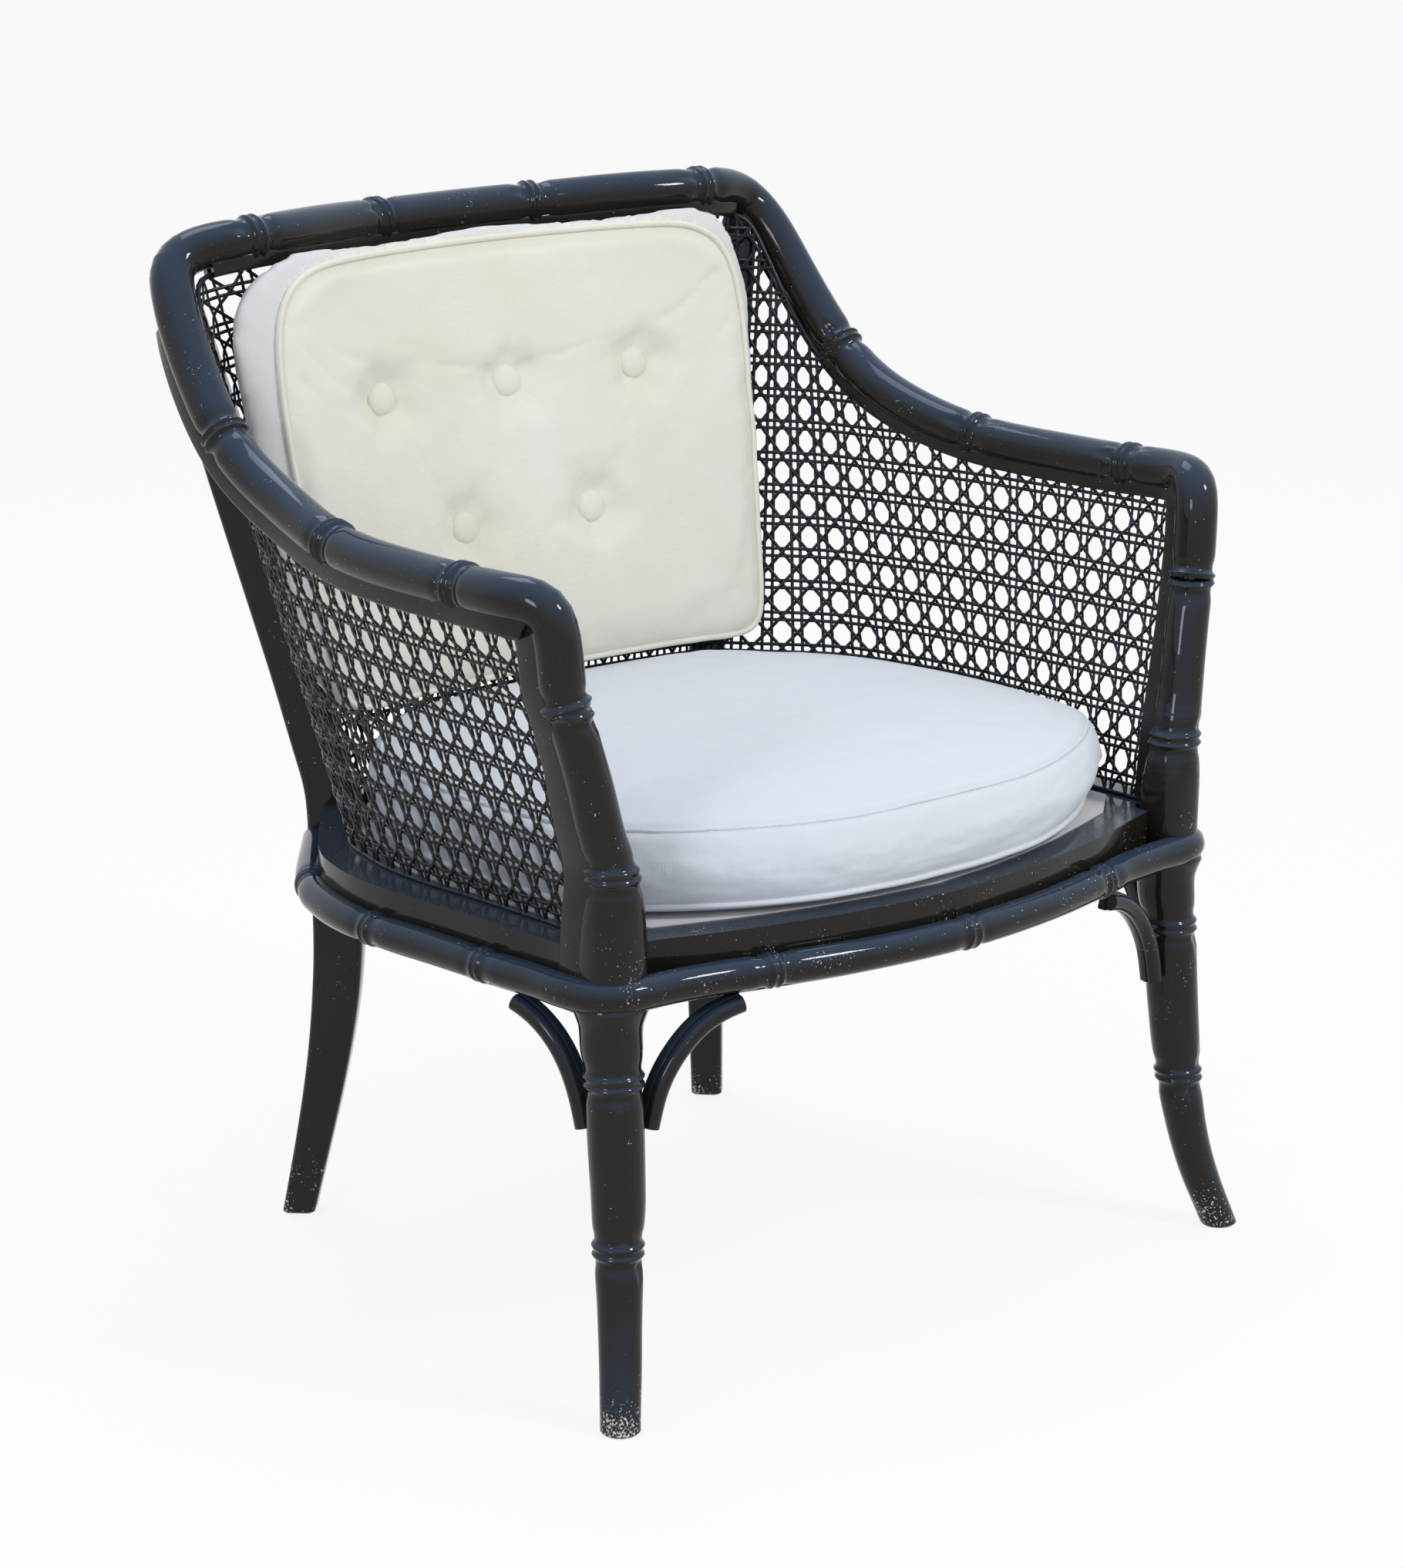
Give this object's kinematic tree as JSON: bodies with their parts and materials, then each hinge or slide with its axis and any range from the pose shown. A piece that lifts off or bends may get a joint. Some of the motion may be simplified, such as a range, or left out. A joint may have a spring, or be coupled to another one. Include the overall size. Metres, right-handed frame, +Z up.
{
  "type": "lounge chair",
  "caption": "Low lounge chair: black lacquered frame turned like bamboo, wrap-around woven cane back, loose seat cushion and buttoned loose back cushion",
  "frame": {"origin": "on the floor under the middle of the chair's bounding box", "axes": "+Z up, -Y towards the sitter's front, +X to the sitter's left; X is the symmetry axis"},
  "size_m": [0.6972, 0.6214, 0.787],
  "materials": {
    "lacquered_wood": "gloss lacquer",
    "lacquered_cane": "gloss lacquer",
    "bare_wood": "bare",
    "plywood": "bare",
    "deck_cloth": "woven",
    "screw_steel": "zinc plated",
    "white_cloth": "woven cotton",
    "ivory_cloth": "woven cotton",
    "foam": "open-cell foam",
    "twine": "waxed"
  },
  "bodies": {
    "frame": {"front_leg_right": "lacquered_wood", "front_leg_left": "lacquered_wood", "rear_leg_right": "lacquered_wood", "rear_leg_left": "lacquered_wood", "arm_rail_right": "lacquered_wood", "arm_rail_left": "lacquered_wood", "crest_rail": "lacquered_wood", "seat_rail_right": "lacquered_wood", "seat_rail_left": "lacquered_wood", "seat_rail_front": "lacquered_wood", "seat_rail_rear": "lacquered_wood", "moulding_right": "lacquered_wood", "moulding_left": "lacquered_wood", "moulding_front": "lacquered_wood", "bracket_front_right": "lacquered_wood", "bracket_front_left": "lacquered_wood", "bracket_side_right": "lacquered_wood", "bracket_side_left": "lacquered_wood", "corner_block_front_right": "bare_wood", "corner_block_front_left": "bare_wood", "corner_block_rear_right": "bare_wood", "corner_block_rear_left": "bare_wood", "rail_dowels": "bare_wood", "post_dowels": "bare_wood", "crest_dowels": "bare_wood", "cane_panel": "lacquered_cane", "cane_cord_right": "lacquered_cane", "cane_cord_left": "lacquered_cane", "cane_cord_back": "lacquered_cane", "cane_cord_seat": "lacquered_cane", "deck_board": "plywood", "deck_cover": "deck_cloth", "deck_screws": "screw_steel"},
    "seat_cushion": {"seat_cushion_cover": "white_cloth", "seat_cushion_foam": "foam", "seat_cushion_piping": "white_cloth"},
    "back_cushion": {"back_cushion_cover": "ivory_cloth", "back_cushion_foam": "foam", "back_cushion_piping": "ivory_cloth", "back_cushion_buttons": "ivory_cloth", "back_cushion_rear_buttons": "ivory_cloth", "back_cushion_twine": "twine"}
  },
  "joints": [
    {"name": "seat_cushion_lift", "type": "slide", "parent": "frame", "child": "seat_cushion", "axis": [0, -0.8, 0.6], "range_m": [0, 0.25]},
    {"name": "back_cushion_lift", "type": "slide", "parent": "seat_cushion", "child": "back_cushion", "axis": [0, -0.8, 0.6], "range_m": [0, 0.2]}
  ]
}
